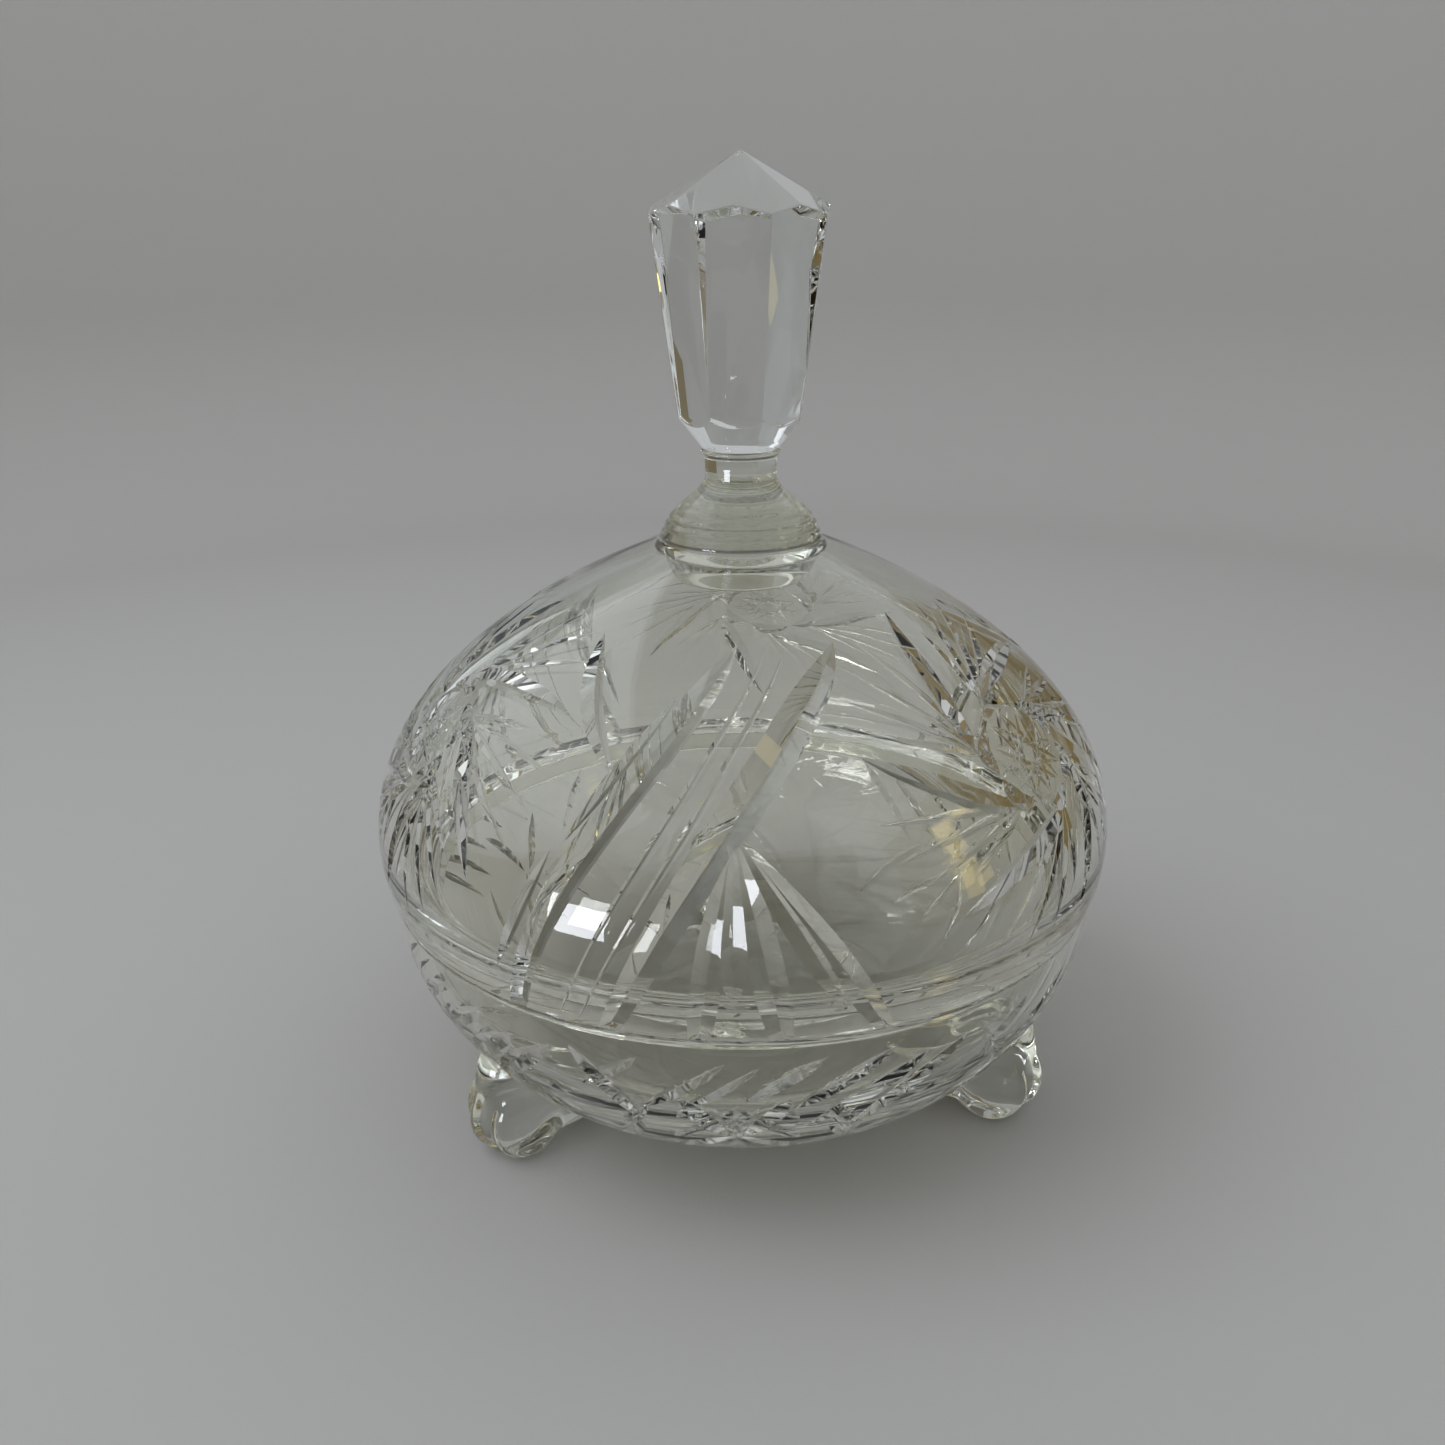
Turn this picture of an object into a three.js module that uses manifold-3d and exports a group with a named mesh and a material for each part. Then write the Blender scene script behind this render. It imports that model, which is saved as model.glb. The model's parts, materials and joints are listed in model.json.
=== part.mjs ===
// Powder jar in cut lead crystal: a round bowl on three toe feet, a domed lid that seats on the
// bowl's ground rim, and a tall eight-sided finial on a turned collar.
// Millimetres, +Z up. The origin is on the table, on the axis of the jar.

import * as THREE from 'three';
import { mergeVertices } from 'three/addons/utils/BufferGeometryUtils.js';
import Module from 'manifold-3d';

const wasm = await Module();
wasm.setup();

// ---- driving dimensions (mm) -------------------------------------------------------------
const SEAT_HEIGHT = 55.5;       // table to the plane where the lid meets the bowl
const GAP = 0.3;                // air left between touching pieces
const ROUND_SEGMENTS = 48;      // facets around the bowl and the lid
const STEM_SEGMENTS = 40;       // facets around the finial's stem
const LOBE_SEGMENTS = 20;       // facets around each lobe of a foot
const WALL_STEPS = 13;          // rings up each wall

const BOWL = {
  rimRadius: 82.5, depth: 61, baseDrop: 51.5,               // outside: half an ellipse, cut flat
  innerRadius: 77.5, innerDepth: 47, innerPower: 2.3,       // inside: a squarer half ellipse
};

const LID = {
  seatRadius: 82.5, widestRadius: 84.97, widestHeight: 11.6,  // the wall bulges above its seat
  peakRise: 71.5, risePower: 2.15, spreadPower: 1.125,        // curve of the dome above that
  crownHeight: 76.9,                                          // flat ground top under the collar
};

const LID_INSIDE = {
  widestRadius: 80.2, peakRise: 67.4,                         // same curve, one wall further in
  flangeRadius: 76.4, flangeWall: 3.2, flangeDrop: 4.5,       // ring that centres it in the bowl
  ledgeHeight: 6,                                             // where the flange joins the wall
  bossRadius: 17, bossHeight: 69.2,                           // thick glass under the collar
};

const COLLAR = { seatRadius: 18.3, seatHeight: 76.9, neckRadius: 7.9, neckBase: 90.3 };
const NECK_TOP = { radius: 8.6, height: 97 };

const PRISM = {
  sides: 8, firstEdgeDeg: -72,                                // one upright edge from +X
  footRadius: 14.1, footHeight: 104,                          // edge radius low on the prism
  shoulderRadius: 19.74, shoulderHeight: 144.8,               // edge radius at the shoulder
  apexHeight: 157.1,
  coneSlope: 0.797,                                           // radius gained per mm above neck
};

const FOOT = {
  radius: 66,                                                 // axis of the jar to toe ball
  anglesDeg: { foot_left: -142.7, foot_right: -22.7, foot_back: 97.3 },
  toe: { x: 66, z: 10.1, size: [11, 10.2, 10.8] },            // ball that stands on the table
  knuckle: { x: 66, z: 19, size: [8.8, 8.4, 9.5] },           // rise up the bowl's wall
  heel: { x: 54, z: 8.2, size: [16, 8.5, 8] },                // tail that runs in under the bowl
};

const CLEAR_CRYSTAL = { color: 0xdfe3df, roughness: 0.03, metalness: 0 };

// ---- solids --------------------------------------------------------------------------------
// Turns a closed geometry into a solid that can be joined and cut.
function toSolid(geometry) {
  const bare = geometry.clone();
  bare.deleteAttribute('normal');
  bare.deleteAttribute('uv');
  const merged = mergeVertices(bare);
  const index = merged.index.array;
  const triangles = [];
  for (let i = 0; i < index.length; i += 3) {
    const [a, b, c] = [index[i], index[i + 1], index[i + 2]];
    if (a !== b && b !== c && c !== a) triangles.push(a, b, c);
  }
  return new wasm.Manifold(new wasm.Mesh({
    numProp: 3,
    vertProperties: new Float32Array(merged.attributes.position.array),
    triVerts: new Uint32Array(triangles),
  }));
}

function toGeometry(solid) {
  const mesh = solid.getMesh();
  const geometry = new THREE.BufferGeometry();
  geometry.setAttribute('position', new THREE.BufferAttribute(mesh.vertProperties, 3));
  geometry.setIndex(new THREE.BufferAttribute(mesh.triVerts, 1));
  geometry.computeVertexNormals();
  return geometry;
}

// A body of revolution about Z from [radius, height] pairs that start and end on the axis.
function turned(profile, segments) {
  const points = profile.map(([radius, height]) => new THREE.Vector2(radius, height));
  return new THREE.LatheGeometry(points, segments).rotateX(Math.PI / 2);
}

function ellipsoid([sizeX, sizeY, sizeZ]) {
  return new THREE.SphereGeometry(1, LOBE_SEGMENTS, LOBE_SEGMENTS * 0.6).rotateX(Math.PI / 2).scale(sizeX, sizeY, sizeZ);
}

function steps(count) {
  return Array.from({ length: count + 1 }, (_, i) => i / count);
}

// ---- bowl ----------------------------------------------------------------------------------
// Outside of the bowl from the base's edge to the rim, grown outwards by `extra`.
function bowlOutside(extra) {
  const lowest = Math.asin(BOWL.baseDrop / BOWL.depth);
  return steps(WALL_STEPS).map((t) => {
    const angle = lowest * (1 - t);
    return [(BOWL.rimRadius + extra) * Math.cos(angle),
      SEAT_HEIGHT - (BOWL.depth + extra) * Math.sin(angle)];
  });
}

function bowlInside() {
  const power = 2 / BOWL.innerPower;
  return steps(WALL_STEPS).map((t) => {
    const angle = (t * Math.PI) / 2;
    return [BOWL.innerRadius * Math.max(Math.cos(angle), 0) ** power,
      SEAT_HEIGHT - BOWL.innerDepth * Math.sin(angle) ** power];
  });
}

function bowl() {
  const wall = bowlOutside(0);
  const inside = bowlInside();
  const rimTop = SEAT_HEIGHT - GAP / 2;
  wall[wall.length - 1][1] = rimTop;
  inside[0][1] = rimTop;
  inside[inside.length - 1][0] = 0;
  return turned([[0, wall[0][1]], ...wall, ...inside], ROUND_SEGMENTS);
}

// ---- lid -----------------------------------------------------------------------------------
// Points up a dome whose radius falls away from `widest` by the lid's curve.
function domeWall(widest, rise, fromRadius, toRadius) {
  const heightAt = (radius) => LID.widestHeight
    + rise * (1 - (radius / widest) ** LID.spreadPower) ** (1 / LID.risePower);
  return steps(WALL_STEPS).map((t) => {
    const radius = toRadius + (fromRadius - toRadius) * Math.cos((t * Math.PI) / 2);
    return [radius, SEAT_HEIGHT + heightAt(radius)];
  });
}

// The short stretch of wall that draws in from the widest ring to the seat.
function lidSkirt() {
  return steps(3).slice(0, 3).map((t) => {
    const drawnIn = (LID.widestRadius - LID.seatRadius) * (1 - t) ** 2;
    return [LID.widestRadius - drawnIn, SEAT_HEIGHT + GAP / 2 + t * (LID.widestHeight - GAP / 2)];
  });
}

function lidDome() {
  const crownRadius = COLLAR.seatRadius + 0.9;
  const outside = [...lidSkirt(), ...domeWall(LID.widestRadius, LID.peakRise,
    LID.widestRadius, crownRadius)];
  outside[outside.length - 1][1] = SEAT_HEIGHT + LID.crownHeight;
  const inside = domeWall(LID_INSIDE.widestRadius, LID_INSIDE.peakRise,
    LID_INSIDE.widestRadius, LID_INSIDE.bossRadius).reverse();
  const flangeInner = LID_INSIDE.flangeRadius - LID_INSIDE.flangeWall;
  const seat = SEAT_HEIGHT + GAP / 2;
  const flangeEnd = SEAT_HEIGHT - LID_INSIDE.flangeDrop;
  const ledge = [
    [flangeInner, SEAT_HEIGHT + LID_INSIDE.ledgeHeight / 2],
    [flangeInner, flangeEnd],
    [LID_INSIDE.flangeRadius, flangeEnd],
    [LID_INSIDE.flangeRadius, seat],
  ];
  const boss = [[0, SEAT_HEIGHT + LID_INSIDE.bossHeight],
    [LID_INSIDE.bossRadius - 2, SEAT_HEIGHT + LID_INSIDE.bossHeight]];
  // From the axis under the crown, out and down the inside, round the flange, up the outside.
  return turned([...boss, ...inside, ...ledge, ...outside,
    [0, SEAT_HEIGHT + LID.crownHeight]], ROUND_SEGMENTS);
}

// ---- finial --------------------------------------------------------------------------------
// Bell-shaped collar and drawn-in neck, turned in one piece.
function finialStem() {
  const { seatRadius, seatHeight, neckRadius, neckBase } = COLLAR;
  const bottom = seatHeight + GAP;
  const bell = [
    [0, bottom], [seatRadius, bottom],
    [seatRadius + 0.2, seatHeight + 1.2], [seatRadius - 0.6, seatHeight + 2.6],
    [seatRadius - 2.3, seatHeight + 5.7], [neckRadius + 3.9, neckBase - 4.1],
    [neckRadius + 1.2, neckBase - 1.8],
  ];
  const neck = [
    [neckRadius + 0.1, neckBase], [neckRadius, neckBase + 2.6],
    [neckRadius + 0.2, neckBase + 4.8], [NECK_TOP.radius, NECK_TOP.height],
    [0, NECK_TOP.height],
  ];
  return turned([...bell, ...neck].map(([r, h]) => [r, SEAT_HEIGHT + h]), STEM_SEGMENTS);
}

// A tapered eight-sided body: radii are to the upright edges.
function octagonalTaper(lowRadius, highRadius, low, high, turnDeg) {
  return new THREE.CylinderGeometry(highRadius, lowRadius, high - low, PRISM.sides)
    .rotateX(Math.PI / 2)
    .rotateZ(THREE.MathUtils.degToRad(turnDeg + 90))
    .translate(0, 0, SEAT_HEIGHT + (low + high) / 2);
}

// The prism: eight tapered sides, a cone below where they run out, and eight crown facets,
// each centred over an upright edge.
function finialPrism() {
  const bottom = NECK_TOP.height + GAP;
  const top = PRISM.apexHeight + 5;
  const taper = (PRISM.shoulderRadius - PRISM.footRadius)
    / (PRISM.shoulderHeight - PRISM.footHeight);
  const edgeRadius = (height) => PRISM.footRadius + taper * (height - PRISM.footHeight);
  const sides = octagonalTaper(edgeRadius(bottom), edgeRadius(top), bottom, top,
    PRISM.firstEdgeDeg);

  const widest = PRISM.shoulderRadius * 1.3;
  const coneTop = bottom + (widest - NECK_TOP.radius) / PRISM.coneSlope;
  const blank = turned([[0, bottom], [NECK_TOP.radius, bottom], [widest, coneTop],
    [widest, top], [0, top]].map(([r, h]) => [r, SEAT_HEIGHT + h]), STEM_SEGMENTS);

  const crownSlope = (PRISM.apexHeight - PRISM.shoulderHeight) / PRISM.shoulderRadius;
  const crownReach = (PRISM.apexHeight - bottom) / crownSlope;
  const halfSide = Math.PI / PRISM.sides;
  const crown = octagonalTaper(crownReach / Math.cos(halfSide), 0, bottom,
    PRISM.apexHeight, PRISM.firstEdgeDeg + 180 / PRISM.sides);

  return toGeometry(toSolid(sides).intersect(toSolid(blank)).intersect(toSolid(crown)));
}

// ---- feet ----------------------------------------------------------------------------------
// One toe foot, made on +X: three rounded lobes joined, cut to the bowl and ground flat below.
function foot() {
  const [toe, knuckle, heel] = [FOOT.toe, FOOT.knuckle, FOOT.heel]
    .map(({ x, z, size }) => toSolid(ellipsoid(size).translate(x, 0, z)));
  const outside = bowlOutside(GAP);
  const bowlBody = toSolid(turned([[0, outside[0][1]], ...outside,
    [0, SEAT_HEIGHT]], ROUND_SEGMENTS));
  const belowTable = new THREE.BoxGeometry(100, 60, 10).translate(FOOT.radius, 0, -5);
  const solid = toe.add(knuckle).add(heel).subtract(bowlBody).subtract(toSolid(belowTable));
  return toGeometry(solid);
}

// ---- assembly ------------------------------------------------------------------------------
function piece(name, geometry) {
  const mesh = new THREE.Mesh(geometry, new THREE.MeshStandardMaterial(CLEAR_CRYSTAL));
  mesh.name = name;
  return mesh;
}

const jar = new THREE.Group();
const base = new THREE.Group();
const lid = new THREE.Group();

base.add(piece('bowl', bowl()));
for (const [name, angle] of Object.entries(FOOT.anglesDeg)) {
  const mesh = piece(name, foot());
  mesh.rotation.z = THREE.MathUtils.degToRad(angle);
  base.add(mesh);
}
lid.add(
  piece('lid_dome', lidDome()),
  piece('finial_stem', finialStem()),
  piece('finial_prism', finialPrism()),
);
jar.add(base, lid);

export default jar;
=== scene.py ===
# %% [markdown]
# # A powder jar in cut lead crystal
# The jar is a thick bowl on three toe feet, a domed lid that drops into the bowl's rim, and an
# eight-sided finial on a turned collar. The imported model gives every piece its place and size.
# This lesson builds the glass itself around it: turned walls, wheel cuts, feet and facets.
# We begin by loading that frame, whose box the glass may not grow past.

# %% Load the frame
import math

import bmesh
import bpy
import numpy as np
from mathutils import Matrix, Vector
from mathutils.bvhtree import BVHTree
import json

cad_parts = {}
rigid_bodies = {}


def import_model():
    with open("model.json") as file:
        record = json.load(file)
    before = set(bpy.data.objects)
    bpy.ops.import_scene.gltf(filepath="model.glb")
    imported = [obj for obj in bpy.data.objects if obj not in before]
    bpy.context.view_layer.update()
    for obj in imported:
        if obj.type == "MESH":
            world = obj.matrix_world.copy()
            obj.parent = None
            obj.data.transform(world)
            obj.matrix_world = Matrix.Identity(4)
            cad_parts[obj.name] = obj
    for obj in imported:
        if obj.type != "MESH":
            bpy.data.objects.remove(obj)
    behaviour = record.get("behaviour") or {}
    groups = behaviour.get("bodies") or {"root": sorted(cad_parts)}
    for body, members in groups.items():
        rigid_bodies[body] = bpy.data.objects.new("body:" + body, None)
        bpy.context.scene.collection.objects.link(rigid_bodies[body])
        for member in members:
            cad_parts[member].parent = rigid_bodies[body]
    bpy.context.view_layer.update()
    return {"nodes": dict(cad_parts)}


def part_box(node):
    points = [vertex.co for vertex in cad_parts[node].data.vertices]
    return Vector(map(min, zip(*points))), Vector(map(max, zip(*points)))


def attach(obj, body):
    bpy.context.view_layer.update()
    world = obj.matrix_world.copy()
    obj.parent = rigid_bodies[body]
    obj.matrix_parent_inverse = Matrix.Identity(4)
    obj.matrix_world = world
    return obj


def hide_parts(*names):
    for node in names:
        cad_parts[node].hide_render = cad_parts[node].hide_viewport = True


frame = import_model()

MM = 0.001
print("nodes:", sorted(frame["nodes"]))

# %% [markdown]
# The camera comes first. It stands a little above the lid and looks down on the jar, near
# enough for the dome to show its perspective. Its lens is short, like that of a pocket camera.

# %% Camera
CAMERA_PLACE = Vector((0, -296.4, 201.3)) * MM
CAMERA_PITCH = 0.3646   # radians below the horizon
CAMERA_YAW = 0.0149     # radians towards the left
CAMERA_ROLL = -0.0073   # radians about the line of sight
CAMERA_LENS = 33.55     # mm, on the sensor below
SENSOR_WIDTH = 36       # mm

camera = bpy.data.objects.new("camera", bpy.data.cameras.new("camera"))
bpy.context.collection.objects.link(camera)
camera.data.lens = CAMERA_LENS
camera.data.sensor_width = SENSOR_WIDTH
camera.data.clip_start = 0.01
turn = Matrix.Rotation(CAMERA_YAW, 4, "Z") @ Matrix.Rotation(math.pi / 2 - CAMERA_PITCH, 4, "X")
camera.matrix_world = (Matrix.Translation(CAMERA_PLACE) @ turn
                       @ Matrix.Rotation(CAMERA_ROLL, 4, "Z"))
bpy.context.scene.camera = camera
print("camera at", [round(v, 4) for v in camera.location])

# %% [markdown]
# The jar's shape comes from a few turned curves. The same formulas as in the CAD are written
# again here, in metres, with many more steps, because polished glass shows every flat.
# The seat is the level plane where the lid meets the bowl, and heights are taken from it.

# %% Turned curves of the walls
bowl_low, bowl_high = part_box("bowl")
GAP = 0.3 * MM
SEAT = bowl_high.z + GAP / 2
SPIN_STEPS = 240
RIM_RADIUS = 82.5 * MM
BOWL_DEPTH = 61 * MM           # of the whole half ellipse, which the flat base cuts short
BOWL_INNER_RADIUS, BOWL_INNER_DEPTH = 77.5 * MM, 47 * MM
BOWL_SQUARENESS = 2.3          # 2 would be a true ellipse
WIDEST_RADIUS = 84.97 * MM     # the lid bulges a little above its seat
WIDEST_RISE = 11.6 * MM
LID_RISE = 71.5 * MM
SPREAD_POWER, RISE_POWER = 1.125, 2.15    # of the dome; 2 and 2 would be an ellipse
CROWN = SEAT + 76.9 * MM       # a small flat, ground for the finial
CROWN_RADIUS = 18.25 * MM


def steps(count):
    """Evenly spaced shares from 0 to 1."""
    return [i / count for i in range(count + 1)]


def bowl_outside(grown=0.0, count=64):
    """Half an ellipse from the rim down to the flat base."""
    base_drop = SEAT - bowl_low.z
    lowest = math.asin(base_drop / BOWL_DEPTH)
    return [((RIM_RADIUS + grown) * math.cos(lowest * t),
             SEAT - (BOWL_DEPTH + grown) * math.sin(lowest * t)) for t in steps(count)]


def bowl_inside(count=56):
    """A squarer half ellipse. The wall between the two is thickest at the turn of the base."""
    power = 2 / BOWL_SQUARENESS
    return [(BOWL_INNER_RADIUS * max(math.cos(t * math.pi / 2), 0) ** power,
             SEAT - BOWL_INNER_DEPTH * math.sin(t * math.pi / 2) ** power) for t in steps(count)]


def dome(widest, rise, last_radius, count=72):
    """The lid's curve from its widest ring up to a chosen radius near the crown."""
    curve = []
    for t in steps(count):
        radius = last_radius + (widest - last_radius) * math.cos(t * math.pi / 2)
        height = rise * (1 - (radius / widest) ** SPREAD_POWER) ** (1 / RISE_POWER)
        curve.append((radius, SEAT + WIDEST_RISE + height))
    return curve


def lid_outside():
    """From the seat out to the widest ring, then up the dome to the ground crown."""
    bulge = WIDEST_RADIUS - RIM_RADIUS
    skirt = [(WIDEST_RADIUS - bulge * (1 - t) ** 2, SEAT + t * WIDEST_RISE)
             for t in steps(14)[:-1]]
    rising = dome(WIDEST_RADIUS, LID_RISE, CROWN_RADIUS)
    rising[-1] = (CROWN_RADIUS, CROWN)
    return skirt + rising


print("seat at", round(SEAT / MM, 2), "mm; lid curve has", len(lid_outside()), "points")

# %% [markdown]
# A turned piece is one outline spun about the jar's axis, as a glass blower's block shapes it.
# Sharp corners of the outline are first rounded by a few points, because even a ground edge
# of crystal has a small radius that catches the light.

# %% Spin an outline
def rounded(outline, radius, corners, count=4):
    """The outline with the numbered corners turned to small curves."""
    soft = []
    for i, here in enumerate(outline):
        if i not in corners:
            soft.append(here)
            continue
        here, before, after = (Vector(outline[k]) for k in (i, i - 1, i + 1))
        start = here + (before - here).normalized() * min(radius, (before - here).length / 2)
        end = here + (after - here).normalized() * min(radius, (after - here).length / 2)
        for t in steps(count):
            soft.append(tuple((start * (1 - t) + here * t) * (1 - t)
                              + (here * (1 - t) + end * t) * t))
    return soft


def spun(outline, count=SPIN_STEPS):
    """A closed bmesh of revolution from (radius, height) points that start and end on the axis."""
    bm = bmesh.new()
    chain = [bm.verts.new((radius, 0, height)) for radius, height in outline]
    for lower, upper in zip(chain, chain[1:]):
        bm.edges.new((lower, upper))
    bmesh.ops.spin(bm, geom=bm.verts[:] + bm.edges[:], cent=(0, 0, 0), axis=(0, 0, 1),
                   dvec=(0, 0, 0), angle=math.tau, steps=count, use_merge=True)
    bmesh.ops.remove_doubles(bm, verts=bm.verts[:], dist=0.002 * MM)
    bmesh.ops.recalc_face_normals(bm, faces=bm.faces[:])
    return bm


def to_object(bm, name, link=True):
    """A mesh object at the origin, unturned, from a finished bmesh."""
    mesh = bpy.data.meshes.new(name)
    bm.to_mesh(mesh)
    bm.free()
    made = bpy.data.objects.new(name, mesh)
    if link:
        bpy.context.collection.objects.link(made)
    return made


BOWL_ROUNDING, LID_ROUNDING = 0.8 * MM, 0.7 * MM


def bowl_blank():
    """Out along the inside from the axis, over the rim, down the outside, and in to the axis."""
    wall = bowl_outside()
    wall[0] = (wall[0][0], SEAT - GAP / 2)
    inside = bowl_inside()[::-1]
    inside[0] = (0, inside[0][1])
    inside[-1] = (inside[-1][0], SEAT - GAP / 2)
    corners = (len(inside) - 1, len(inside), len(inside) + len(wall) - 1)
    return rounded([*inside, *wall, (0, wall[-1][1])], BOWL_ROUNDING, corners)


LID_INNER_RADIUS, LID_INNER_RISE = 80.2 * MM, 67.4 * MM
FLANGE_OUTER, FLANGE_INNER, FLANGE_DROP = 76.4 * MM, 73.2 * MM, 4.5 * MM
BOSS_ROOT = 17.5 * MM     # radius where the boss grows out of the dome
# Radius and height above the seat, in mm, of the boss and of the ledge inside the rim.
BOSS = [(0, 67.6), (6.4, 67.6), (8.4, 66.4), (12.8, 66.4), (14.6, 67.0), (15.4, 68.4)]
LEDGE = [(79.6, 8.6), (78.2, 7.4), (76.6, 7.2), (75.6, 5.2), (73.2, 3.4)]


def lid_blank():
    """Under the crown, down the inside, round the flange, and up the outside."""
    low_seat, flange_end = SEAT + GAP / 2, SEAT - FLANGE_DROP
    boss = [(radius * MM, SEAT + height * MM) for radius, height in BOSS]
    inside = dome(LID_INNER_RADIUS, LID_INNER_RISE, BOSS_ROOT)[::-1]
    ledge = [(radius * MM, SEAT + height * MM) for radius, height in LEDGE]
    ledge += [(FLANGE_INNER, flange_end), (FLANGE_OUTER, flange_end), (FLANGE_OUTER, low_seat)]
    outside = lid_outside()
    outside[0] = (outside[0][0], low_seat)
    outline = [*boss, *inside, *ledge, *outside, (0, outside[-1][1])]
    first = len(boss) + len(inside)
    corners = (*range(1, len(boss) + 1), *range(first, first + len(ledge) + 1), len(outline) - 2)
    return rounded(outline, LID_ROUNDING, corners)


print("bowl outline:", len(bowl_blank()), "points; lid outline:", len(lid_blank()), "points")

# %% [markdown]
# The cutter's wheel leaves grooves with two flat flanks that meet in a line, pointed at both
# ends where the wheel entered and left. To cut one, we need to know any point on the glass
# and which way is out. The pattern is laid out in degrees round the jar and in millimetres
# of arc up from the seat, which is how it would be marked on the blank with a grease pencil.

# %% Marking out on the glass
def marked(outline, lead=5 * MM):
    """Arc length, points and outward normals along an outline, with a straight run-up."""
    points = np.array(outline)
    start = points[0] - (points[1] - points[0]) / np.linalg.norm(points[1] - points[0]) * lead
    points = np.vstack([start, points])
    arc = np.concatenate([[0], np.cumsum(np.linalg.norm(np.diff(points, axis=0), axis=1))]) - lead
    slope = np.gradient(points, arc, axis=0)
    normal = np.column_stack([slope[:, 1], -slope[:, 0]])
    normal *= np.sign(normal[0, 0]) / np.linalg.norm(normal, axis=1)[:, None]
    return arc, points, normal


def on_glass(form, azimuth, arc):
    """The point and outward normal at an angle from the front, in degrees, and an arc in mm."""
    arcs, points, normals = form
    radius, height, out, up = (np.interp(arc * MM, arcs, column)
                               for column in (*points.T, *normals.T))
    side, front = math.sin(math.radians(azimuth)), -math.cos(math.radians(azimuth))
    normal = Vector((out * side, out * front, up)).normalized()
    return Vector((radius * side, radius * front, height)), normal


LID_FORM = marked(lid_outside())
BOWL_FORM = marked(bowl_outside())
print("arc of the lid:", round(LID_FORM[0][-1] / MM, 1), "mm, bowl:",
      round(BOWL_FORM[0][-1] / MM, 1), "mm")

# %% [markdown]
# Each groove's tool is a three-sided bar: a bmesh cone with three sides, cut lengthwise into
# short stations, then bent along the marked line. At every station its keel goes into the
# glass by the depth there, and its two wings stay in the air. Taking the bar away from the
# wall leaves true flanks, which bend light as real ones do. A bump map can't do that.

# %% Wheel cuts
LEAF_HALF_ANGLE = math.radians(60)    # steep flanks for the long leaves
FAN_HALF_ANGLE = math.radians(66)
RAY_HALF_ANGLE = math.radians(72)     # a flatter wheel for fine and crossing cuts
WING_LIFT = 0.6 * MM                  # how far the bar's wings stand off the glass
TIP_LIFT = 0.03 * MM                  # the keel starts just above the glass at each tip
STATION_SPACING = 1.6                 # mm or degrees of the marks, which are about alike
FEWEST_STATIONS, MOST_STATIONS = 6, 40


def smooth_path(marks, count):
    """Points of a smooth curve through the marks, evenly counted."""
    knots = np.array([tuple(m) for m in marks], dtype=float)
    reach = np.concatenate([[0], np.cumsum(np.linalg.norm(np.diff(knots, axis=0), axis=1))])
    reach /= reach[-1]
    tangent = np.gradient(knots, reach, axis=0)
    path = []
    for t in steps(count):
        i = int(np.clip(np.searchsorted(reach, t, side="right") - 1, 0, len(knots) - 2))
        span = reach[i + 1] - reach[i]
        u = (t - reach[i]) / span
        a, b = (1 - u) ** 2 * (1 + 2 * u), u ** 2 * (3 - 2 * u)
        c, d = u * (1 - u) ** 2 * span, u ** 2 * (u - 1) * span
        path.append(a * knots[i] + b * knots[i + 1] + c * tangent[i] + d * tangent[i + 1])
    return path


LEAF_FULLNESS = 2.4    # 2 would be a parabola, and more makes blunter tips


def leaf(u, peak, tail):
    """Share of the full depth along a cut: none at its tip, all at the peak, tail at the end."""
    if u < peak:
        return 1 - ((peak - u) / peak) ** LEAF_FULLNESS
    return 1 - (1 - tail) * ((u - peak) / (1 - peak)) ** LEAF_FULLNESS


def wheel_bar(line, width, peak=0.5, tail=0.0, half_angle=LEAF_HALF_ANGLE):
    """The cutting tool for one groove along (point, normal) stations on the glass."""
    count = len(line) - 1
    bm = bmesh.new()
    bmesh.ops.create_cone(bm, cap_ends=True, segments=3, radius1=1, radius2=1, depth=1)
    long_edges = [e for e in bm.edges if abs(e.verts[0].co.z - e.verts[1].co.z) > 0.5]
    bmesh.ops.subdivide_edges(bm, edges=long_edges, cuts=count - 1, use_grid_fill=True)
    slope = math.tan(half_angle)
    for vert in bm.verts:
        place = round((vert.co.z + 0.5) * count)
        point, normal = line[place]
        along = line[min(place + 1, count)][0] - line[max(place - 1, 0)][0]
        side = along.cross(normal).normalized()
        depth = width / 2 / slope * leaf(place / count, peak, tail) - TIP_LIFT
        if vert.co.y > 0.5:
            vert.co = point - normal * depth
        else:
            wing = (depth + WING_LIFT) * slope
            vert.co = point + normal * WING_LIFT + side * math.copysign(wing, vert.co.x)
    bmesh.ops.recalc_face_normals(bm, faces=bm.faces[:])
    if bm.calc_volume(signed=True) < 0:  # a long bent bar can fool the recalculation
        bmesh.ops.reverse_faces(bm, faces=bm.faces[:])
    return bm


def groove(form, marks, width, **shape):
    """A groove's tool from marks of (degrees, mm of arc)."""
    length = sum(math.dist(a, b) for a, b in zip(marks, marks[1:]))
    count = max(FEWEST_STATIONS, min(MOST_STATIONS, round(length / STATION_SPACING)))
    line = [on_glass(form, *mark) for mark in smooth_path(marks, count)]
    return wheel_bar(line, width * MM, **shape)


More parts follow.
